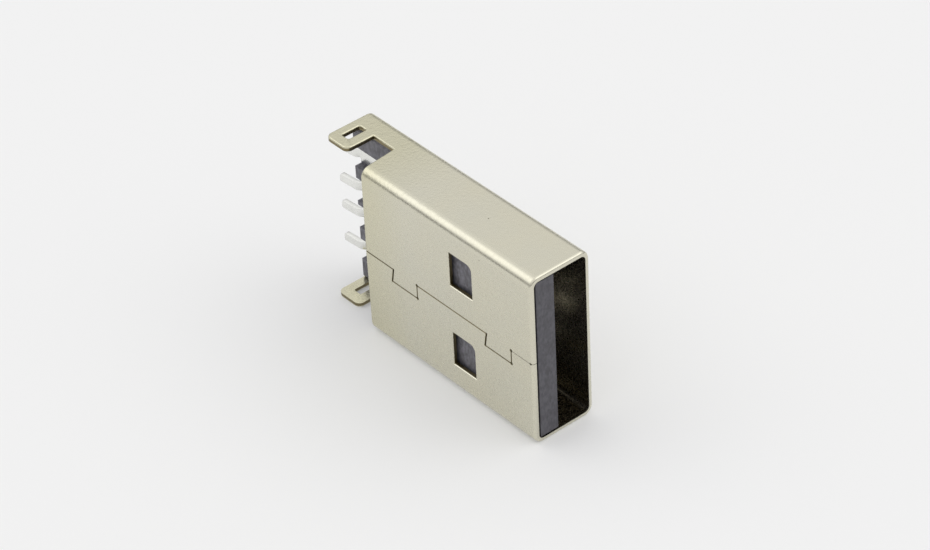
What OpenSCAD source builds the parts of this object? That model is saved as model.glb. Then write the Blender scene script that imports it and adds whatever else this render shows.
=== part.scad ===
// USB-A plug for a circuit board, with a bare folded steel shell.
// The shell grips a moulded insulator. Four contact strips lie in the tongue,
// pass through the block behind it and leave over a shelf as solder tails.
//
// Frame: X is the plug's thickness, Y its length and Z its width. The origin is
// the middle of the mating opening. The seam of the shell faces -X, the tails
// point to +Y, and the plug stands on one of its narrow walls.

/* [View] */
// node to draw, or all of them

/* [Shell] */
// width over the two narrow walls
shell_w = 12.0; // [11.9:0.05:12.1]
// thickness over the two wide walls
shell_t = 4.5; // [4.4:0.05:4.6]
// thickness of the steel sheet
sheet = 0.30; // [0.25:0.01:0.35]
// outside radius of the four folds
fold_r = 0.65; // [0.5:0.05:0.8]
// length of the closed tube, from the mouth to its back edge
tube_len = 14.95; // [14:0.05:16]
// length of the wall opposite the seam, which carries on as a tray
tray_len = 19.05; // [18:0.05:20]
// rounding of the outer edge around the mouth
mouth_r = 0.18; // [0.1:0.01:0.25]

/* [Board legs] */
// gap between the tube and the foot of each leg
notch_len = 2.10; // [1.6:0.05:2.4]
// slant of the notch's edge on the tube
notch_slant = 0.20; // [0:0.02:0.3]
// inner edge of the leg's neck, from the middle plane
neck_x = 0.50; // [0.2:0.05:0.9]
// seam-side end of the foot, from the middle plane
foot_x = -1.55; // [-1.8:0.05:-1.2]
// corner radius of the foot
foot_r = 0.42; // [0.1:0.02:0.5]
// length of the solder slot in the foot
slot_len = 1.36; // [1:0.02:1.8]
// width of the solder slot
slot_w = 0.62; // [0.4:0.02:0.8]
// corner radius of the solder slot
slot_r = 0.12; // [0.05:0.01:0.25]
// seam-side end of the solder slot, from the middle plane
slot_x = -0.80; // [-1:0.05:-0.5]

/* [Latch windows] */
// edge of the windows nearest the mouth
window_y = 5.20; // [5:0.05:5.4]
// window size along the plug
window_len = 2.00; // [1.8:0.05:2.2]
// window size across the plug
window_w = 2.40; // [2.2:0.05:2.6]
// distance between the middles of the two windows
window_pitch = 5.86; // [5.6:0.02:6]
// radius of the window's one round corner
window_r = 0.40; // [0.2:0.05:0.6]

/* [Seam] */
// width of the closed seam
seam_gap = 0.035; // [0.03:0.005:0.06]
// how deep the keys reach across the seam
key_depth = 0.95; // [0.7:0.05:1.2]
// mouth-side flank of the key near the mouth
key_front_y = 1.87; // [1.5:0.01:2.2]
// mouth-side flank of the key near the legs
key_rear_y = 10.25; // [9.5:0.05:11]
// width of a key along the seam
key_w = 2.15; // [1.8:0.05:2.6]
// how far the back flank flares outward
key_flare = 0.16; // [0:0.02:0.3]
// width of the cut at the flared back flank
flank_gap = 0.08; // [0.04:0.01:0.12]
// relief hole at a sharp corner of the seam
relief_d = 0.16; // [0.1:0.02:0.24]

/* [Insulator] */
// gap between the seam wall and the tongue
tongue_gap = 0.15; // [0.05:0.01:0.25]
// gap between a narrow wall and the tongue
tongue_side = 0.10; // [0.05:0.01:0.2]
// room left between the contact face and the far wall
cavity = 1.95; // [1.9:0.01:2.05]
// depth of the mating cavity
cavity_depth = 9.8; // [9:0.1:11]
// setback of the tongue's nose behind the mouth
nose_back = 0.03; // [0:0.01:0.3]
// how far the nose of the tongue is relieved
nose_x = 0.45; // [0.2:0.05:0.7]
// length of the relief on the nose
nose_y = 0.85; // [0.6:0.05:1.2]
// face of the shelf behind the tube, from the middle plane
shelf_x = 0.96; // [0.9:0.01:1.1]
// face of the ribs between the tails, from the middle plane
rib_x = 0.47; // [0.3:0.01:0.7]
// room between the ribs for an inner contact
inner_room = 1.68; // [1.4:0.02:1.8]
// room between the ribs for an outer contact
outer_room = 1.50; // [1.2:0.02:1.7]
// corner cut on the end ribs
rib_cut = 0.12; // [0.06:0.02:0.4]
// side clearance of the moulding in the shell
fit = 0.02; // [0.01:0.01:0.05]

/* [Contacts] */
// distance from the middle to the inner contacts
inner_z = 1.0; // [0.95:0.01:1.05]
// distance from the middle to the outer contacts
outer_z = 3.5; // [3.45:0.01:3.55]
// width of the strip in the tongue and on the shelf
blade_w = 1.0; // [0.9:0.05:1.1]
// width of a solder tail
tail_w = 0.56; // [0.4:0.02:0.8]
// thickness of the contact strip
strip_t = 0.30; // [0.2:0.01:0.35]
// radius of the strip's bends, on its middle line
bend_r = 0.28; // [0.2:0.01:0.35]
// mating tips of the power pair, from the mouth
power_tip = 1.6; // [1.2:0.1:2]
// mating tips of the data pair, from the mouth
data_tip = 2.6; // [2.2:0.1:3]
// how far a mating tip dips under the plastic
tip_dip = 0.16; // [0.05:0.01:0.25]
// length of the slope down to the tip
tip_slope = 0.50; // [0.3:0.05:0.8]
// distance of the jog behind the cavity
jog_back = 2.2; // [1:0.1:3.5]
// strip face on the shelf, from the middle plane
root_x = 0.85; // [0.7:0.01:0.95]
// start of the step up to the tail, before the shelf's end
step_inset = 0.05; // [0:0.01:0.2]
// length of the step up from the shelf to the tail
step_len = 0.30; // [0.2:0.01:0.5]
// solder face at the start of the tail
tail_x = 0.60; // [0.4:0.01:0.8]
// solder face at the end of the tail
tail_end_x = 0.50; // [0.3:0.01:0.7]
// length of the tails beyond the shelf
tail_len = 1.70; // [1:0.05:3]
// corner radius of the strip's ends
tip_r = 0.16; // [0.05:0.01:0.25]

/* [Hidden] */
$fn = 48;
overlap = 0.5;
in_w = shell_w - 2 * sheet;
in_t = shell_t - 2 * sheet;
in_r = fold_r - sheet;
flat_w = shell_w - 2 * fold_r;
flat_t = shell_t - 2 * fold_r;
foot_y = tube_len + notch_len;
mould_z = in_w / 2 - fit;
wall_x = in_t / 2;
mate_x = wall_x - cavity;
tongue_x = tongue_gap - wall_x;
tongue_w = in_w - 2 * tongue_side;
step_y = tray_len - step_inset;
tail_end = tray_len + tail_len;
jog_y = cavity_depth + jog_back;
half_t = strip_t / 2;
bend_steps = 6;
CONTACTS = [[-outer_z, power_tip], [-inner_z, data_tip], [inner_z, data_tip], [outer_z, power_tip]];

// rectangle with round corners, from its lower corner
module rounded(a, b, r) {
  translate([r, 0]) square([a - 2 * r, b]);
  translate([0, r]) square([a, b - 2 * r]);
  for (x = [r, a - r], y = [r, b - r]) translate([x, y]) circle(r);
}

// turns an outline drawn as length by width into the plane of the wide walls
module along_plug(depth) {
  rotate([90, 0, 90]) linear_extrude(depth) children();
}

// ---- shell ----

// section of the sheet along a wall: outward in x, along the plug in y
module wall_section(len) {
  r = mouth_r;
  translate([0, r]) square([sheet, len - r]);
  square([sheet - r, r]);
  intersection() {
    translate([sheet - r, r]) circle(r);
    translate([sheet - r, 0]) square(r);
  }
}

// one wide wall, on the +X side
module wide_wall(len) {
  translate([wall_x, 0, -flat_w / 2]) linear_extrude(flat_w) wall_section(len);
}

// one narrow wall, on the -Z side
module narrow_wall(len) {
  translate([-flat_t / 2, 0, -in_w / 2]) rotate([0, 90, 0]) linear_extrude(flat_t) wall_section(len);
}

// one fold, at the +X -Z corner
module fold(len) {
  translate([flat_t / 2, 0, -flat_w / 2]) rotate([-90, 0, 0])
    rotate_extrude(angle = 90) translate([in_r, 0]) wall_section(len);
}

// one leg in the plane of a narrow wall: neck, hooked foot and solder slot
module leg_outline() {
  y0 = tube_len - overlap;
  difference() {
    union() {
      polygon([
        [-flat_t / 2, y0], [-flat_t / 2, tube_len], [neck_x, tube_len + notch_slant],
        [neck_x, tray_len], [flat_t / 2, tray_len], [flat_t / 2, y0]
      ]);
      translate([foot_x + foot_r, foot_y]) square([flat_t / 2 - foot_x - foot_r, tray_len - foot_y]);
      translate([foot_x, foot_y]) rounded(3 * foot_r, tray_len - foot_y, foot_r);
    }
    translate([slot_x, (foot_y + tray_len + slot_r - slot_w) / 2]) rounded(slot_len, slot_w, slot_r);
  }
}

// latch windows through both wide walls, each with its round corner up and forward
module windows() {
  translate([-shell_t, 0, 0]) along_plug(2 * shell_t)
    for (s = [-1, 1]) translate([window_y, (s * window_pitch - window_w) / 2]) difference() {
      square([window_len, window_w]);
      translate([0, window_w - window_r]) difference() {
        square(window_r);
        translate([window_r, 0]) circle(window_r);
      }
    }
}

// a fine cut of width w from a to b, with round ends
module cut_line(a, b, w = seam_gap) {
  d = b - a;
  translate(a) rotate(atan2(d[1], d[0])) translate([0, -w / 2]) square([norm(d), w]);
  for (p = [a, b]) translate(p) circle(d = w);
}

// one key of the seam: sharp mouth-side flank with relief holes, flared back flank
module key_cut(front) {
  back = front + key_w;
  cut_line([front, 0], [front, -key_depth]);
  cut_line([front, -key_depth], [back + key_flare, -key_depth]);
  cut_line([back, 0], [back + key_flare, -key_depth], flank_gap);
  for (z = [0, -key_depth]) translate([front, z]) circle(d = relief_d);
}

// the closed seam along the middle of the -X wall
module seam() {
  translate([-shell_t, 0, 0]) along_plug(shell_t) {
    cut_line([-overlap, 0], [key_front_y, 0]);
    cut_line([key_front_y + key_w, 0], [key_rear_y, 0]);
    cut_line([key_rear_y + key_w, 0], [tube_len + overlap, 0]);
    translate([mouth_r, 0]) circle(d = relief_d);
    for (y = [key_front_y, key_rear_y]) key_cut(y);
  }
}

module shell() {
  color([0.76, 0.75, 0.68]) difference() {
    union() {
      wide_wall(tray_len);
      mirror([1, 0, 0]) wide_wall(tube_len);
      for (m = [0, 1]) mirror([0, 0, m]) {
        narrow_wall(tube_len);
        fold(tray_len);
        mirror([1, 0, 0]) fold(tube_len);
        translate([0, 0, -shell_w / 2]) linear_extrude(sheet) leg_outline();
      }
    }
    windows();
    seam();
  }
}

// ---- insulator ----

// tongue against the seam wall, relieved at its nose
module tongue() {
  translate([0, 0, -tongue_w / 2]) linear_extrude(tongue_w)
    polygon([
      [tongue_x, nose_back], [mate_x - nose_x, nose_back], [mate_x, nose_y],
      [mate_x, cavity_depth + overlap], [tongue_x, cavity_depth + overlap]
    ]);
}

// block that closes the tube behind the cavity
module block() {
  t = 2 * wall_x - fit;
  translate([0, tube_len, 0]) rotate([90, 0, 0]) linear_extrude(tube_len - cavity_depth)
    translate([fit - wall_x, -mould_z]) difference() {
      square([t, 2 * mould_z]);
      for (x = [0, t], z = [0, 2 * mould_z])
        translate([x, z]) rotate(45) square(in_r * sqrt(2), center = true);
    }
}

// section of the shelf behind the tube, with the ribs between the tails
module shelf_section() {
  a = outer_room / 2;
  b = inner_room / 2;
  top = [
    [wall_x, mould_z - in_r], [wall_x - in_r, mould_z], [rib_x + rib_cut, mould_z], [rib_x, mould_z - rib_cut],
    [rib_x, outer_z + a], [shelf_x, outer_z + a], [shelf_x, outer_z - a], [rib_x, outer_z - a],
    [rib_x, inner_z + b], [shelf_x, inner_z + b], [shelf_x, inner_z - b], [rib_x, inner_z - b]
  ];
  polygon([each top, for (i = [len(top) - 1:-1:0]) [top[i][0], -top[i][1]]]);
}

module insulator() {
  color([0.42, 0.41, 0.43]) difference() {
    union() {
      tongue();
      block();
      translate([0, tray_len, 0]) rotate([90, 0, 0])
        linear_extrude(tray_len - tube_len + overlap) shelf_section();
    }
    for (c = CONTACTS) translate([0, 0, c[0] - blade_w / 2 - fit])
      linear_extrude(blade_w + 2 * fit) strip_side(strip_path(c[1]), half_t + fit);
  }
}

// ---- contacts ----

// middle line of a strip seen from the side: mating tip, blade, jog, root and tail
function strip_path(tip) = [
  [mate_x - half_t - tip_dip, tip], [mate_x - half_t, tip + tip_slope], [mate_x - half_t, jog_y],
  [root_x + half_t, jog_y], [root_x + half_t, step_y], [tail_x + half_t, step_y + step_len],
  [tail_end_x + half_t, tail_end]
];

function heading(v) = atan2(v[1], v[0]);
function turn(u, v) = atan2(u[0] * v[1] - u[1] * v[0], u * v);
function left(h) = [-sin(h), cos(h)];

// stations along a path, each a point and a heading, with a round bend at each inner point
function stations(p) = [
  [p[0], heading(p[1] - p[0])],
  for (i = [1:len(p) - 2])
    let (
      h = heading(p[i] - p[i - 1]),
      a = turn(p[i] - p[i - 1], p[i + 1] - p[i]),
      c = p[i] - bend_r * tan(abs(a) / 2) * [cos(h), sin(h)] + sign(a) * bend_r * left(h)
    )
    for (k = [0:bend_steps])
      let (g = h + a * k / bend_steps) [c - sign(a) * bend_r * left(g), g],
  [p[len(p) - 1], heading(p[len(p) - 1] - p[len(p) - 2])]
];

// outline of a bent strip, half as thick as half on each side of its middle line
module strip_side(path, half) {
  s = stations(path);
  polygon([
    for (q = s) q[0] + half * left(q[1]),
    for (i = [len(s) - 1:-1:0]) s[i][0] - half * left(s[i][1])
  ]);
}

// outline of a strip seen flat: wide blade and root, narrow tail
module strip_flat(tip) {
  translate([tip, -blade_w / 2]) rounded(step_y - tip, blade_w, tip_r);
  translate([step_y - overlap, -tail_w / 2]) rounded(tail_end + overlap - step_y, tail_w, tip_r);
}

// contact number i, from the supply side
module contact(i) {
  z = CONTACTS[i][0];
  tip = CONTACTS[i][1];
  color([0.9, 0.9, 0.88]) translate([0, 0, z]) intersection() {
    translate([0, 0, -blade_w / 2]) linear_extrude(blade_w) strip_side(strip_path(tip), half_t);
    translate([-shell_t, 0, 0]) along_plug(2 * shell_t) strip_flat(tip);
  }
}

module contact_vbus() { contact(0); }
module contact_data_minus() { contact(1); }
module contact_data_plus() { contact(2); }
module contact_ground() { contact(3); }

shell();
insulator();
contact_vbus();
contact_data_minus();
contact_data_plus();
contact_ground();
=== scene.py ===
# %% [markdown]
# # A USB-A plug for a circuit board
# The real plug has three kinds of piece. A steel shell is stamped and folded from one
# sheet, a dark moulding fills it, and four tinned strips carry the contacts. The shell and
# the moulding are copies of the measured solids with their edges finished. The strips are
# built again, each between the two ends of its measured solid.

# %% Load the fixed frame
import math

import bmesh
import bpy
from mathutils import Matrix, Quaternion, Vector


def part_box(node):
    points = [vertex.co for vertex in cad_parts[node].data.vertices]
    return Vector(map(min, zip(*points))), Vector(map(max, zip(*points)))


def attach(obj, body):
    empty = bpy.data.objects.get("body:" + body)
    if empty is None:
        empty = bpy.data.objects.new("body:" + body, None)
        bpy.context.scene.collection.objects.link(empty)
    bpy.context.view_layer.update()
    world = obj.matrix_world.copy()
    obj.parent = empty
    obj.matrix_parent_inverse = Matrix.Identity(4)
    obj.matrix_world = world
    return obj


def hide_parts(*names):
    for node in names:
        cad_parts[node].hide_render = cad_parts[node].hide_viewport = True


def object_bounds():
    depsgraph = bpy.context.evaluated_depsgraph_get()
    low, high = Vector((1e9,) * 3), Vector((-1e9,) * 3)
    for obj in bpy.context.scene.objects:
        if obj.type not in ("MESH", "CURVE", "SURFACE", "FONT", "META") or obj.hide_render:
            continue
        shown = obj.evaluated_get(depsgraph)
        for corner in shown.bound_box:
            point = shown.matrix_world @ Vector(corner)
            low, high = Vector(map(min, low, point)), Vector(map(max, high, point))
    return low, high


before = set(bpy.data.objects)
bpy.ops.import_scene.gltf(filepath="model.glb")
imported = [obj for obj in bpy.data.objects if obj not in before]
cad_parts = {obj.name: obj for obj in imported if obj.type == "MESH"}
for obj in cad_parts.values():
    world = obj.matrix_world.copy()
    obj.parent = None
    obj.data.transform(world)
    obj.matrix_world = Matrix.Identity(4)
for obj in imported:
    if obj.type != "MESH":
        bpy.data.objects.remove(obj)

MM = 0.001
cad_low, cad_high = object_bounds()
print("CAD box in mm:", [round(v / MM, 3) for v in (*cad_low, *cad_high)])

# %% [markdown]
# ## Camera
# A long lens from close by flattens the plug only a little, so the mouth stays larger
# than the tails. The camera looks down on the seam side and leans by three degrees.
# It could be set by eye. Its place was worked out from the standard 12 by 4.5 mm section
# instead, because a small plug looks wrong as soon as its receding lines are off. Places
# and the near clip are in millimetres, and the lean is in degrees.

# %% Place the camera
LENS, SENSOR, NEAR_CLIP = 132.93, 36.0, 10.0
CAMERA_PLACE = (-99.84, -115.64, 123.40)
CAMERA_LOOK = (0.49634, 0.61708, -0.61062)
CAMERA_LEAN = -3.06

scene = bpy.context.scene
camera = bpy.data.objects.new("camera", bpy.data.cameras.new("camera"))
scene.collection.objects.link(camera)
scene.camera = camera
camera.data.sensor_width = SENSOR
camera.data.lens = LENS
camera.data.clip_start = NEAR_CLIP * MM
camera.location = Vector(CAMERA_PLACE) * MM
aim = Vector(CAMERA_LOOK).to_track_quat("-Z", "Y")
camera.rotation_mode = "QUATERNION"
camera.rotation_quaternion = aim @ Quaternion((0, 0, 1), math.radians(CAMERA_LEAN))
scene.view_settings.view_transform = "Standard"
print("camera to origin in mm:", round(camera.location.length / MM, 1))

# %% [markdown]
# ## Two helpers
# Every material and every Geometry Nodes tree below is built by one function that adds a
# node, sets its properties and fills its sockets. Colours are written as sRGB hex values,
# the way a paint chart gives them, and one function turns them to the linear values that
# Blender's shaders expect.

# %% Node and colour helpers
def add(tree, kind, sockets=None, **settings):
    """Adds a node. A socket takes a plain value, or another node's output to link."""
    made = tree.nodes.new(kind)
    for name, value in settings.items():
        setattr(made, name, value)
    for socket, value in (sockets or {}).items():
        if isinstance(value, bpy.types.NodeSocket):
            tree.links.new(value, made.inputs[socket])
        else:
            made.inputs[socket].default_value = value
    return made


def linear(code):
    """An sRGB hex colour as linear red, green, blue and alpha."""
    parts = [int(code[i:i + 2], 16) / 255 for i in (1, 3, 5)]
    return [c / 12.92 if c <= 0.04045 else ((c + 0.055) / 1.055) ** 2.4 for c in parts] + [1.0]


def per_mm(size):
    """Noise scale that gives a pattern of about this size in millimetres."""
    return 1 / (size * MM)


def new_material(name):
    """A material with an empty tree, and that tree."""
    made = bpy.data.materials.new(name)
    made.use_nodes = True
    made.node_tree.nodes.clear()
    return made, made.node_tree


print("mid grey in linear light:", round(linear("#808080")[0], 3))

# %% [markdown]
# ## Floor
# A small shiny part shows its surroundings more than itself, so the stage is plain, and
# it starts with a pale matt floor. A fifth of what is seen of the floor is its plain
# colour without light, which keeps the shadow pale. A curved backdrop could hide the
# horizon, but the camera looks down, so a flat floor of four corners fills the view.

# %% Floor
PAPER = linear("#f0f0f0")
FLOOR_REACH = 3.0        # metres
FLOOR_GAP = 0.005        # millimetres
PLAIN_SHARE = 0.20

floor_z = cad_low.z - FLOOR_GAP * MM
signs = ((-1, -1), (1, -1), (1, 1), (-1, 1))
floor_mesh = bpy.data.meshes.new("floor")
floor_mesh.from_pydata([(x * FLOOR_REACH, y * FLOOR_REACH, floor_z) for x, y in signs],
                       [], [(0, 1, 2, 3)])
floor = bpy.data.objects.new("floor", floor_mesh)
scene.collection.objects.link(floor)
paper, tree = new_material("matt white paper")
shader = add(tree, "ShaderNodeBsdfPrincipled",
             {"Base Color": PAPER, "Roughness": 0.9, "Specular IOR Level": 0.1})
plain = add(tree, "ShaderNodeEmission", {"Color": PAPER, "Strength": 1.0})
ray = add(tree, "ShaderNodeLightPath").outputs
seen = add(tree, "ShaderNodeMath", {0: ray["Is Camera Ray"], 1: ray["Is Glossy Ray"]},
           operation="MAXIMUM")
seen = add(tree, "ShaderNodeMath", {0: seen.outputs[0], 1: ray["Is Transmission Ray"]},
           operation="MAXIMUM")
share = add(tree, "ShaderNodeMath", {0: seen.outputs[0], 1: PLAIN_SHARE}, operation="MULTIPLY")
surface = add(tree, "ShaderNodeMixShader",
              {0: share.outputs[0], 1: shader.outputs["BSDF"], 2: plain.outputs[0]})
add(tree, "ShaderNodeOutputMaterial", {"Surface": surface.outputs[0]})
floor_mesh.materials.append(paper)
print("floor at", round(floor_z / MM, 3), "mm")

# %% [markdown]
# ## Light
# The light is an even dome that darkens towards the horizon. Two soft patches on it stand
# for studio lamps: one behind to the left, which draws the bright band along the fold, and
# one in front to the right for the mouth's lip. Each patch has a direction, the angles in
# degrees where it starts to fade and where it ends, and a level. One weak lamp to the
# right adds the last of the shadow.

# %% Dome and lamp
DOME_STOPS = ((0.0, 0.28), (0.16, 0.40), (0.40, 0.68), (0.62, 0.95), (1.0, 1.07))
DOME_STRENGTH = 0.97
PATCHES = (((-0.45, 0.62, 0.64), 8, 33, 0.60), ((0.50, -0.60, 0.62), 8, 34, 0.75))
LAMP_ENERGY, LAMP_ANGLE, LAMP_TOWARD = 0.10, 50, (-0.85, -0.10, -0.55)

world = bpy.data.worlds.new("studio")
scene.world = world
world.use_nodes = True
tree = world.node_tree
tree.nodes.clear()
direction = add(tree, "ShaderNodeTexCoord").outputs["Generated"]
height = add(tree, "ShaderNodeSeparateXYZ", {"Vector": direction}).outputs["Z"]
dome = add(tree, "ShaderNodeValToRGB", {"Fac": height})
ramp = dome.color_ramp
while len(ramp.elements) < len(DOME_STOPS):
    ramp.elements.new(0.5)
for element, (place, level) in zip(ramp.elements, DOME_STOPS):
    element.position = place
    element.color = (level, level, level, 1)
light = dome.outputs["Color"]
for toward, inner, outer, level in PATCHES:
    facing = add(tree, "ShaderNodeVectorMath", {0: direction, 1: Vector(toward).normalized()},
                 operation="DOT_PRODUCT")
    patch = add(tree, "ShaderNodeMapRange",
                {"Value": facing.outputs["Value"], "From Min": math.cos(math.radians(outer)),
                 "From Max": math.cos(math.radians(inner)), "To Max": level},
                interpolation_type="SMOOTHSTEP")
    light = add(tree, "ShaderNodeMath", {0: light, 1: patch.outputs["Result"]},
                operation="ADD").outputs[0]
ray = add(tree, "ShaderNodeLightPath").outputs
seen = add(tree, "ShaderNodeMix", {"Factor": ray["Is Camera Ray"], "A": light, "B": PAPER},
           data_type="RGBA")
sky = add(tree, "ShaderNodeBackground",
          {"Color": seen.outputs["Result"], "Strength": DOME_STRENGTH})
add(tree, "ShaderNodeOutputWorld", {"Surface": sky.outputs["Background"]})

lamp = bpy.data.objects.new("soft lamp", bpy.data.lights.new("soft lamp", "SUN"))
scene.collection.objects.link(lamp)
lamp.data.energy = LAMP_ENERGY
lamp.data.angle = math.radians(LAMP_ANGLE)
lamp.rotation_mode = "QUATERNION"
lamp.rotation_quaternion = Vector(LAMP_TOWARD).to_track_quat("-Z", "Y")
print("dome stops:", DOME_STOPS)

# %% [markdown]
# ## Nickel-plated steel: colour
# The shell is low-carbon steel strip with a satin nickel plate, stamped and then folded.
# Nickel reflects a warm grey, in clouds of slightly different warmth, and it is yellower
# towards the legs. The plate is thin on a stamped edge, so the cut faces are more yellow and
# darker, a darkening that is partly bare steel and partly painted shade. Deep inside the
# closed tube the colour is painted darker, as painted shade. An image could carry all this,
# but noise on object coordinates needs no file and no unwrapping, and keeps its real size.
# Sizes here are in millimetres.

# %% Shell colour
TURN = (0.5, 0.7, 0.3)
CLOUD = 4.0
WARM_FROM, WARM_TO, WARM_SHARE = 11.0, 15.0, 0.45
TUBE_OPENS, TUBE_CLOSED = 15.0, 13.0

steel, tree = new_material("satin nickel plate on steel")
where = add(tree, "ShaderNodeTexCoord").outputs["Object"]
turned = add(tree, "ShaderNodeMapping", {"Vector": where, "Rotation": TURN}).outputs["Vector"]
place = add(tree, "ShaderNodeSeparateXYZ", {"Vector": where}).outputs
cloud = add(tree, "ShaderNodeTexNoise",
            {"Vector": turned, "Scale": per_mm(CLOUD), "Detail": 3.0, "Roughness": 0.55})
plate = add(tree, "ShaderNodeMix",
            {"Factor": cloud.outputs["Fac"], "A": linear("#dad5c0"), "B": linear("#d4d2c4")},
            data_type="RGBA")
rear = add(tree, "ShaderNodeMapRange",
           {"Value": place["Y"], "From Min": WARM_FROM * MM, "From Max": WARM_TO * MM})
warmth = add(tree, "ShaderNodeMath", {0: rear.outputs["Result"], 1: WARM_SHARE},
             operation="MULTIPLY")
warm = add(tree, "ShaderNodeMix",
           {"Factor": warmth.outputs[0], "A": plate.outputs["Result"], "B": linear("#cbc6a2")},
           data_type="RGBA")
# The cut faces are painted darker: partly the bare steel of a stamped edge, partly painted shade.
cut = add(tree, "ShaderNodeAttribute", attribute_name="cut_edge").outputs["Fac"]
cut_bare_and_shaded = add(tree, "ShaderNodeMix",
           {"Factor": cut, "A": warm.outputs["Result"], "B": linear("#857b5e")},
           data_type="RGBA")
# Deep inside the closed tube the steel is painted darker, as painted shade, not soot.
inner = add(tree, "ShaderNodeAttribute", attribute_name="inside").outputs["Fac"]
closed = add(tree, "ShaderNodeMapRange",
             {"Value": place["Y"], "From Min": TUBE_OPENS * MM, "From Max": TUBE_CLOSED * MM})
shade_deep_in_tube = add(tree, "ShaderNodeMath", {0: inner, 1: closed.outputs["Result"]},
            operation="MULTIPLY").outputs[0]
tube_shaded = add(tree, "ShaderNodeMix",
          {"Factor": shade_deep_in_tube, "A": cut_bare_and_shaded.outputs["Result"], "B": linear("#9c9480")},
          data_type="RGBA")
print("steel colour nodes:", len(tree.nodes))

# %% [markdown]
# ## Nickel-plated steel: pits and gloss
# A Voronoi pattern has one centre in each cell, which is where a pit goes, and the cell's
# random colour picks the few cells that have one. A pit is as dark as the steel below the
# plate. Its rim and core are fractions of the gap between pits, not millimetres.
# The gloss varies with the grain, and a stamped edge is a little rougher.

# %% Shell pits and gloss
GRAIN, PIT_GAP = 0.18, 1.9
PIT_SHARE, PIT_RIM, PIT_CORE = 0.45, 0.030, 0.016
SHINIEST, DULLEST, CUT_EXTRA = 0.20, 0.32, 0.10

pits = add(tree, "ShaderNodeTexVoronoi", {"Vector": turned, "Scale": per_mm(PIT_GAP)})
chance = add(tree, "ShaderNodeSeparateColor", {"Color": pits.outputs["Color"]}).outputs["Red"]
few = add(tree, "ShaderNodeMath", {0: chance, 1: PIT_SHARE}, operation="LESS_THAN")
near = add(tree, "ShaderNodeMapRange",
           {"Value": pits.outputs["Distance"], "From Min": PIT_RIM, "From Max": PIT_CORE})
pit = add(tree, "ShaderNodeMath", {0: few.outputs[0], 1: near.outputs["Result"]},
          operation="MULTIPLY")
pitted = add(tree, "ShaderNodeMix",
             {"Factor": pit.outputs[0], "A": tube_shaded.outputs["Result"], "B": linear("#5d5547")},
             data_type="RGBA")
grain = add(tree, "ShaderNodeTexNoise",
            {"Vector": turned, "Scale": per_mm(GRAIN), "Detail": 2.0, "Roughness": 0.6})
gloss = add(tree, "ShaderNodeMapRange",
            {"Value": grain.outputs["Fac"], "From Min": 0.3, "From Max": 0.7,
             "To Min": SHINIEST, "To Max": DULLEST})
torn = add(tree, "ShaderNodeMapRange", {"Value": cut, "To Min": 0.0, "To Max": CUT_EXTRA})
rough = add(tree, "ShaderNodeMath", {0: gloss.outputs["Result"], 1: torn.outputs["Result"]},
            operation="ADD", use_clamp=True)
print("steel nodes with pits and gloss:", len(tree.nodes))

# %% [markdown]
# ## Nickel-plated steel: relief
# Rolling and plating leave a fine orange peel, which is flatter inside the tube. On the
# narrow upper wall, towards the legs, coarser crystals break the highlight into sparkle.
# Displaced faces would be far too many at this size, so two bumps do it, one upon the other.

# %% Shell relief and shader
PEEL, PEEL_DEPTH, CRYSTAL_DEPTH = 0.34, 0.030, 0.022
WALL_FROM, WALL_TO = 5.0, 5.9
REAR_FROM, REAR_TO = 4.0, 14.0
CRYSTAL_GAIN, CRYSTAL_BASE = 0.90, 0.04

peel = add(tree, "ShaderNodeTexNoise",
           {"Vector": turned, "Scale": per_mm(PEEL), "Detail": 1.0})
upper = add(tree, "ShaderNodeMapRange",
            {"Value": place["Z"], "From Min": WALL_FROM * MM, "From Max": WALL_TO * MM})
behind = add(tree, "ShaderNodeMapRange",
             {"Value": place["Y"], "From Min": REAR_FROM * MM, "From Max": REAR_TO * MM})
coarse = add(tree, "ShaderNodeMath", {0: upper.outputs["Result"], 1: behind.outputs["Result"]},
             operation="MULTIPLY")
crystal = add(tree, "ShaderNodeMath", {0: coarse.outputs[0], 1: CRYSTAL_GAIN, 2: CRYSTAL_BASE},
              operation="MULTIPLY_ADD")
calm = add(tree, "ShaderNodeMath", {0: crystal.outputs[0], 1: shade_deep_in_tube},
           operation="SUBTRACT", use_clamp=True)
smooth = add(tree, "ShaderNodeMapRange", {"Value": shade_deep_in_tube, "To Min": 0.18, "To Max": 0.04})
relief = add(tree, "ShaderNodeBump",
             {"Height": peel.outputs["Fac"], "Strength": smooth.outputs["Result"],
              "Distance": PEEL_DEPTH * MM})
fine = add(tree, "ShaderNodeBump",
           {"Height": grain.outputs["Fac"], "Strength": calm.outputs[0],
            "Distance": CRYSTAL_DEPTH * MM, "Normal": relief.outputs["Normal"]})
shader = add(tree, "ShaderNodeBsdfPrincipled",
             {"Base Color": pitted.outputs["Result"], "Metallic": 1.0,
              "Roughness": rough.outputs[0], "Normal": fine.outputs["Normal"]})
add(tree, "ShaderNodeOutputMaterial", {"Surface": shader.outputs["BSDF"]})
print("steel nodes:", len(tree.nodes))

# %% [markdown]
# ## Moulded plastic
# The moulding is a glass-filled polyester, dark grey and matt. The short fibres leave
# pale streaks and a mottle where the melt flowed, and the mould's skin is faintly rough.
# The tongue's nose is painted a little darker, as painted shade on the face turned to the
# front. One plain grey would look like a toy, so two noises are multiplied, and their
# streaks gather in places.

# %% Insulator finish
MOTTLE, FIBRE, FIBRE_STRETCH = 0.9, 0.16, (1.0, 1.0, 0.5)
SKIN, SKIN_DEPTH = 0.05, 0.006
NOSE_FROM, NOSE_TO, NOSE_SHADE = 0.5, 0.2, 0.62

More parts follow.
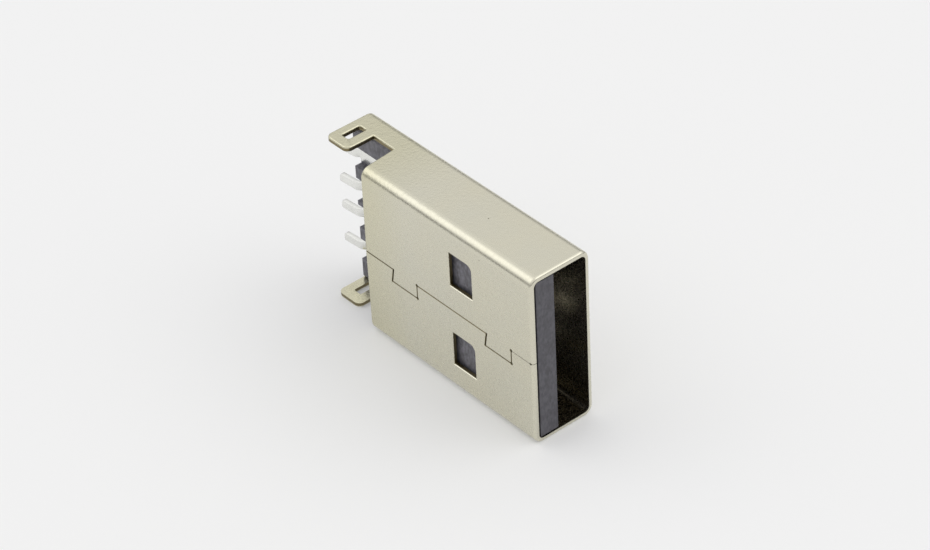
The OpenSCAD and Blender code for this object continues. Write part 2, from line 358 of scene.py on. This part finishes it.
plastic, tree = new_material("glass-filled polyester, moulded")
where = add(tree, "ShaderNodeTexCoord").outputs["Object"]
mottle = add(tree, "ShaderNodeTexNoise",
             {"Vector": where, "Scale": per_mm(MOTTLE), "Detail": 4.0, "Roughness": 0.65})
stretch = add(tree, "ShaderNodeMapping",
              {"Vector": where, "Rotation": TURN, "Scale": FIBRE_STRETCH}).outputs["Vector"]
fibre = add(tree, "ShaderNodeTexNoise",
            {"Vector": stretch, "Scale": per_mm(FIBRE), "Detail": 2.0})
flow = add(tree, "ShaderNodeMath", {0: mottle.outputs["Fac"], 1: fibre.outputs["Fac"]},
           operation="MULTIPLY")
spread = add(tree, "ShaderNodeMapRange",
             {"Value": flow.outputs[0], "From Min": 0.15, "From Max": 0.36})
tone = add(tree, "ShaderNodeMix",
           {"Factor": spread.outputs["Result"], "A": linear("#525056"), "B": linear("#78777f")},
           data_type="RGBA")
along = add(tree, "ShaderNodeSeparateXYZ", {"Vector": where}).outputs["Y"]
# Painted shade: the colour darkens towards the nose's front end.
nose_shade = add(tree, "ShaderNodeMapRange",
           {"Value": along, "From Min": NOSE_FROM * MM, "From Max": NOSE_TO * MM,
            "To Max": NOSE_SHADE})
shaded_nose = add(tree, "ShaderNodeMix",
             {"Factor": nose_shade.outputs["Result"], "A": tone.outputs["Result"],
              "B": linear("#2e2c32")}, data_type="RGBA")
skin = add(tree, "ShaderNodeTexNoise", {"Vector": where, "Scale": per_mm(SKIN), "Detail": 2.0})
relief = add(tree, "ShaderNodeBump",
             {"Height": skin.outputs["Fac"], "Strength": 0.4, "Distance": SKIN_DEPTH * MM})
dull = add(tree, "ShaderNodeMapRange",
           {"Value": mottle.outputs["Fac"], "To Min": 0.42, "To Max": 0.58})
shader = add(tree, "ShaderNodeBsdfPrincipled",
             {"Base Color": shaded_nose.outputs["Result"], "IOR": 1.55,
              "Roughness": dull.outputs["Result"], "Normal": relief.outputs["Normal"]})
add(tree, "ShaderNodeOutputMaterial", {"Surface": shader.outputs["BSDF"]})
print("plastic nodes:", len(tree.nodes))

# %% [markdown]
# ## Tinned contact strip
# The strips are phosphor bronze with a bright tin plate. Tin is nearly white and soft, so
# it shows fine drawing lines along the strip and a slightly uneven gloss. The lines are a
# noise stretched twenty times along Y, which turns every speck into a line.

# %% Contact finish
DRAW, DRAW_STRETCH, DRAW_DEPTH = 0.06, (1.0, 0.05, 1.0), 0.004
TIN_PATCH = 0.7

tin, tree = new_material("tin plate on bronze strip")
where = add(tree, "ShaderNodeTexCoord").outputs["Object"]
lines = add(tree, "ShaderNodeMapping", {"Vector": where, "Scale": DRAW_STRETCH})
drawn = add(tree, "ShaderNodeTexNoise",
            {"Vector": lines.outputs["Vector"], "Scale": per_mm(DRAW), "Detail": 2.0})
patch = add(tree, "ShaderNodeTexNoise",
            {"Vector": where, "Scale": per_mm(TIN_PATCH), "Detail": 2.0})
white = add(tree, "ShaderNodeMix",
            {"Factor": patch.outputs["Fac"], "A": linear("#e6e6e1"), "B": linear("#f4f4f0")},
            data_type="RGBA")
gloss = add(tree, "ShaderNodeMapRange",
            {"Value": patch.outputs["Fac"], "To Min": 0.20, "To Max": 0.36})
relief = add(tree, "ShaderNodeBump",
             {"Height": drawn.outputs["Fac"], "Strength": 0.35, "Distance": DRAW_DEPTH * MM})
shader = add(tree, "ShaderNodeBsdfPrincipled",
             {"Base Color": white.outputs["Result"], "Metallic": 1.0,
              "Roughness": gloss.outputs["Result"], "Normal": relief.outputs["Normal"]})
add(tree, "ShaderNodeOutputMaterial", {"Surface": shader.outputs["BSDF"]})
print("tin nodes:", len(tree.nodes))

# %% [markdown]
# ## Edges
# Nothing stamped or moulded has a razor edge. A punch drags the sheet's upper edge into a
# small roll, and a mould rounds the plastic. Those tiny rounds carry the bright lines that
# make a small part look real. The measured solids have sharp edges, so each one is copied,
# its loose triangles are merged, and its edges are bevelled by a tenth of a millimetre or
# less. A Bevel modifier would round every edge alike, and picking the edges in code gives
# the seam, the rim and the moulding a width each.

# %% Copy a solid and round its edges
SHARP = math.radians(28)
FLAT = math.radians(0.5)
SAME_POINT = 1e-7        # metres


def flatten(work):
    """Merges faces that lie in one plane into one."""
    bmesh.ops.dissolve_limit(work, angle_limit=FLAT, verts=work.verts, edges=work.edges)
    work.normal_update()


def solid_copy(node):
    """The merged mesh of a measured solid, ready to edit."""
    work = bmesh.new()
    work.from_mesh(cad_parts[node].data)
    bmesh.ops.remove_doubles(work, verts=work.verts, dist=SAME_POINT)
    flatten(work)
    return work


def sharp_edges(work, wanted=lambda edge: True):
    """The sharp edges between two faces, of those that are wanted."""
    return [e for e in work.edges
            if len(e.link_faces) == 2 and e.calc_face_angle(0) > SHARP and wanted(e)]


def round_edges(work, edges, width, steps):
    """Bevels the edges by a width in mm."""
    bmesh.ops.bevel(work, geom=edges, offset=width * MM, offset_type="OFFSET", segments=steps,
                    profile=0.5, affect="EDGES", clamp_overlap=False, loop_slide=False)
    flatten(work)


def show(work, name, material, slot, node):
    """Turns an edited solid into a finished piece that stands for its measured solid."""
    for vert in work.verts:
        vert.co = Vector(min(max(c, low), high)
                         for c, low, high in zip(vert.co, cad_low, cad_high))
    work.normal_update()
    for edge in work.edges:
        edge.smooth = edge.calc_face_angle(0) < SHARP
    for face in work.faces:
        face.smooth = True
    mesh = bpy.data.meshes.new(name)
    work.to_mesh(mesh)
    work.free()
    mesh.materials.append(material)
    settle(mesh, slot, node)


def settle(mesh, slot, *nodes):
    """Makes the piece, keeps its flat faces flat beside rounded edges, and ties it down."""
    piece = bpy.data.objects.new(mesh.name, mesh)
    scene.collection.objects.link(piece)
    weighted = piece.modifiers.new("flat faces stay flat", "WEIGHTED_NORMAL")
    weighted.keep_sharp = True
    weighted.mode = "FACE_AREA_WITH_ANGLE"
    weighted.weight = 100
    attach(piece, "root")
    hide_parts(*nodes)
    print(piece.name, "faces:", len(mesh.polygons))


# %% [markdown]
# ## Shell
# The shell's outer edges get the roll of the punch, and its inner edges stay as they are.
# The seam is a hairline, so its edges lose only three hundredths, and its last stretch,
# at the mouth, keeps its own edge. How deep a point lies under the outer surface of the folded tube
# tells the outer edges from the inner ones, and a cut face from a wide one.

# %% Shell
SHELL_FOLD = 0.65
ON_SURFACE = 0.006
INNER_SIDE, OUTER_HALF = -0.28, -0.14
SEAM_WALL, SEAM_LOW, SEAM_HIGH = -2.2, -1.2, 0.12
LIP, LIP_ROLL = 0.3, 0.5
SEAM_ROUND, SEAM_STEPS = 0.030, 2
OUTER_ROUND, OUTER_STEPS = 0.10, 4
FACING_OUT = -0.98

half_x, half_z = (cad_high.x - cad_low.x) / 2 / MM, (cad_high.z - cad_low.z) / 2 / MM


def depth(point):
    """How far a point lies outside the folded tube's outer surface, in mm."""
    x = abs(point.x) / MM - half_x + SHELL_FOLD
    z = abs(point.z) / MM - half_z + SHELL_FOLD
    return math.hypot(max(x, 0), max(z, 0)) + min(max(x, z), 0) - SHELL_FOLD


def on_seam(part):
    """Whether an edge or a face lies wholly along the seam."""
    return all(v.co.x < SEAM_WALL * MM and SEAM_LOW * MM < v.co.z < SEAM_HIGH * MM
               for v in part.verts)


def at_lip(edge):
    """Whether an edge is the seam's end at the mouth."""
    return on_seam(edge) and any(v.co.y < LIP * MM for v in edge.verts)


def outer(edge):
    """Whether an edge lies on the folded tube's outer surface."""
    return all(abs(depth(v.co)) < ON_SURFACE for v in edge.verts)


work = solid_copy("shell")
seam = sharp_edges(work, lambda e: outer(e) and on_seam(e) and not at_lip(e))
round_edges(work, seam, SEAM_ROUND, SEAM_STEPS)
rim = sharp_edges(work, lambda e: outer(e) and not on_seam(e))
round_edges(work, rim, OUTER_ROUND, OUTER_STEPS)
# cut_edge marks the faces whose steel is painted darker, partly bare steel and partly painted
# shade.
cut_layer = work.faces.layers.float.new("cut_edge")
# inside marks the faces that are painted darker deep in the tube, as painted shade.
inside_layer = work.faces.layers.float.new("inside")
for face in work.faces:
    depths = [depth(v.co) for v in face.verts]
    through = min(depths) < INNER_SIDE and max(depths) > OUTER_HALF
    stamped = through and face.calc_center_median().y > LIP_ROLL * MM
    groove = on_seam(face) and face.normal.x > FACING_OUT
    face[cut_layer] = 1.0 if stamped or groove else 0.0
    face[inside_layer] = 1.0 if max(depths) < INNER_SIDE else 0.0
show(work, "folded_shell", steel, "plated_steel", "shell")

# %% [markdown]
# ## Insulator
# The moulding is one piece from the tongue's nose to the ribs between the tails. Its
# edges are as round as a mould leaves them, and one step of bevel is enough at that size.

# %% Insulator
MOULD_ROUND, MOULD_STEPS = 0.012, 1

work = solid_copy("insulator")
round_edges(work, sharp_edges(work), MOULD_ROUND, MOULD_STEPS)
show(work, "moulded_insulator", plastic, "moulded_plastic", "insulator")

# %% [markdown]
# ## Contacts: the tree's sizes
# The four contacts are one strip, repeated: the same blade, jog, shelf and tail at four
# places, with two lengths of blade. A rule like that suits Geometry Nodes. The path is a
# line through seven corners, the tree rounds the corners, and a long divided block is laid
# along it, so one tree with named sizes makes all four. Sizes are in millimetres.

# %% Strip tree: sizes and path
STRIP, TAIL_STARTS, TAPER = 0.30, 19.0, 0.08
BLOCK_POINTS = {"Vertices X": 260, "Vertices Y": 3, "Vertices Z": 2}
BEND_POINTS = 8

strip_tree = bpy.data.node_groups.new("bent contact strip", "GeometryNodeTree")
ports = strip_tree.interface
ports.new_socket("Geometry", in_out="OUTPUT", socket_type="NodeSocketGeometry")
ports.new_socket("Path", in_out="INPUT", socket_type="NodeSocketGeometry")
for label, size in (("Blade width", 1.0), ("Tail width", 0.56), ("Thickness", STRIP),
                    ("Bend radius", 0.28), ("Corner radius", 0.16),
                    ("Tail starts", TAIL_STARTS)):
    port = ports.new_socket(label, in_out="INPUT", socket_type="NodeSocketFloat")
    port.default_value = size * MM
coat = ports.new_socket("Material", in_out="INPUT", socket_type="NodeSocketMaterial")

group = add(strip_tree, "NodeGroupInput").outputs
line = add(strip_tree, "GeometryNodeMeshToCurve", {"Mesh": group["Path"]})
bent = add(strip_tree, "GeometryNodeFilletCurve",
           {"Curve": line.outputs[0], "Radius": group["Bend radius"], "Limit Radius": True,
            "Count": BEND_POINTS}, mode="POLY").outputs[0]
length = add(strip_tree, "GeometryNodeCurveLength", {"Curve": bent}).outputs[0]
block = add(strip_tree, "GeometryNodeMeshCube", {"Size": (1, 1, 1), **BLOCK_POINTS})
position = add(strip_tree, "GeometryNodeInputPosition").outputs[0]
spot = add(strip_tree, "ShaderNodeSeparateXYZ", {"Vector": position}).outputs
share = add(strip_tree, "ShaderNodeMath", {0: spot["X"], 1: 0.5}, operation="ADD").outputs[0]
along = add(strip_tree, "ShaderNodeMath", {0: share, 1: length},
            operation="MULTIPLY").outputs[0]
on_path = add(strip_tree, "GeometryNodeSampleCurve", {"Curves": bent, "Length": along},
              mode="LENGTH").outputs
print("strip tree sizes:", [port.name for port in ports.items_tree])

# %% [markdown]
# ## Contacts: half the width at each place
# The strip is as wide as the blade and then narrows to the tail. Near either end it loses
# the round of the corner, which is what a circle takes off at that distance.

# %% Strip tree: width
y = add(strip_tree, "ShaderNodeSeparateXYZ", {"Vector": on_path["Position"]}).outputs["Y"]
narrows = add(strip_tree, "ShaderNodeMath", {0: group["Tail starts"], 1: TAPER * MM},
              operation="SUBTRACT")
width = add(strip_tree, "ShaderNodeMapRange",
            {"Value": y, "From Min": narrows.outputs[0], "From Max": group["Tail starts"],
             "To Min": group["Blade width"], "To Max": group["Tail width"]})
radius = group["Corner radius"]
to_end = add(strip_tree, "ShaderNodeMath", {0: length, 1: along}, operation="SUBTRACT")
nearer = add(strip_tree, "ShaderNodeMath", {0: along, 1: to_end.outputs[0]},
             operation="MINIMUM")
inside = add(strip_tree, "ShaderNodeMath", {0: radius, 1: nearer.outputs[0]},
             operation="SUBTRACT")
inside = add(strip_tree, "ShaderNodeMath", {0: inside.outputs[0], 1: 0.0},
             operation="MAXIMUM").outputs[0]
radius_2 = add(strip_tree, "ShaderNodeMath", {0: radius, 1: radius}, operation="MULTIPLY")
inside_2 = add(strip_tree, "ShaderNodeMath", {0: inside, 1: inside}, operation="MULTIPLY")
rest = add(strip_tree, "ShaderNodeMath", {0: radius_2.outputs[0], 1: inside_2.outputs[0]},
           operation="SUBTRACT")
chord = add(strip_tree, "ShaderNodeMath", {0: rest.outputs[0]}, operation="SQRT")
corner = add(strip_tree, "ShaderNodeMath", {0: radius, 1: chord.outputs[0]},
             operation="SUBTRACT")
half = add(strip_tree, "ShaderNodeMath", {0: width.outputs["Result"], 1: 0.5},
           operation="MULTIPLY")
half = add(strip_tree, "ShaderNodeMath", {0: half.outputs[0], 1: corner.outputs[0]},
           operation="SUBTRACT")
print("strip tree nodes so far:", len(strip_tree.nodes))

# %% [markdown]
# ## Contacts: laying the block along the path
# The block goes across the plug in Z, and through the strip square to both Z and the path.
# Curve to Mesh would sweep one width from end to end, and a divided block can change width.

# %% Strip tree: lay the block
side = add(strip_tree, "ShaderNodeVectorMath", {0: on_path["Tangent"], 1: (0, 0, 1)},
           operation="CROSS_PRODUCT")
across = add(strip_tree, "ShaderNodeMath", {0: half.outputs[0], 1: 2.0}, operation="MULTIPLY")
across = add(strip_tree, "ShaderNodeMath", {0: across.outputs[0], 1: spot["Y"]},
             operation="MULTIPLY")
through = add(strip_tree, "ShaderNodeMath", {0: group["Thickness"], 1: spot["Z"]},
              operation="MULTIPLY")
shift_side = add(strip_tree, "ShaderNodeVectorMath",
                 {0: side.outputs[0], "Scale": through.outputs[0]}, operation="SCALE")
shift_z = add(strip_tree, "ShaderNodeCombineXYZ", {"Z": across.outputs[0]})
moved = add(strip_tree, "ShaderNodeVectorMath",
            {0: on_path["Position"], 1: shift_side.outputs[0]}, operation="ADD")
moved = add(strip_tree, "ShaderNodeVectorMath", {0: moved.outputs[0], 1: shift_z.outputs[0]},
            operation="ADD")
laid = add(strip_tree, "GeometryNodeSetPosition",
           {"Geometry": block.outputs["Mesh"], "Position": moved.outputs[0]})
real = add(strip_tree, "GeometryNodeRealizeInstances", {"Geometry": laid.outputs[0]})
coated = add(strip_tree, "GeometryNodeSetMaterial",
             {"Geometry": real.outputs[0], "Material": group["Material"]})
add(strip_tree, "NodeGroupOutput", {"Geometry": coated.outputs[0]})
print("strip tree nodes:", len(strip_tree.nodes))

# %% [markdown]
# ## Contacts: the four strips
# Each strip runs in the middle of its measured box. The faces are the X places of the side
# that each stretch rests on. The tip and the end are drawn in by what the strip's
# thickness adds where it leans, so that no strip is longer than its measured solid.

# %% Four strips
BLADE_FACE, SHELF_FACE, TAIL_FACE, TAIL_END_FACE = 0.0, 0.85, 0.60, 0.50
DIP, SLOPE, JOG, STEP = 0.16, 0.50, 12.0, 0.30
BROKEN, BROKEN_STEPS, BROKEN_OVER = 0.025, 2, 40

half_strip = STRIP / 2
for node in ("contact_vbus", "contact_data_minus", "contact_data_plus", "contact_ground"):
    low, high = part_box(node)
    middle = (low.z + high.z) / 2 / MM
    tip = low.y / MM + half_strip * DIP / math.hypot(DIP, SLOPE)
    end = high.y / MM - half_strip * (TAIL_FACE - TAIL_END_FACE)
    blade, shelf = BLADE_FACE - half_strip, SHELF_FACE + half_strip
    corners = [(blade - DIP, tip), (blade, tip + SLOPE), (blade, JOG), (shelf, JOG),
               (shelf, TAIL_STARTS), (TAIL_FACE + half_strip, TAIL_STARTS + STEP),
               (TAIL_END_FACE + half_strip, end)]
    path = bpy.data.meshes.new("path")
    path.from_pydata([(x * MM, y * MM, middle * MM) for x, y in corners],
                     [(i, i + 1) for i in range(len(corners) - 1)], [])
    holder = bpy.data.objects.new("path", path)
    scene.collection.objects.link(holder)
    strip = holder.modifiers.new("strip", "NODES")
    strip.node_group = strip_tree
    strip[coat.identifier] = tin
    broken = holder.modifiers.new("broken edges", "BEVEL")
    broken.width, broken.segments = BROKEN * MM, BROKEN_STEPS
    broken.angle_limit = math.radians(BROKEN_OVER)
    shaped = holder.evaluated_get(bpy.context.evaluated_depsgraph_get())
    mesh = bpy.data.meshes.new_from_object(shaped)
    mesh.name = node.replace("contact", "strip")
    bpy.data.objects.remove(holder)
    mesh.shade_smooth()
    mesh.set_sharp_from_angle(angle=SHARP)
    settle(mesh, "tinned_contact", node)
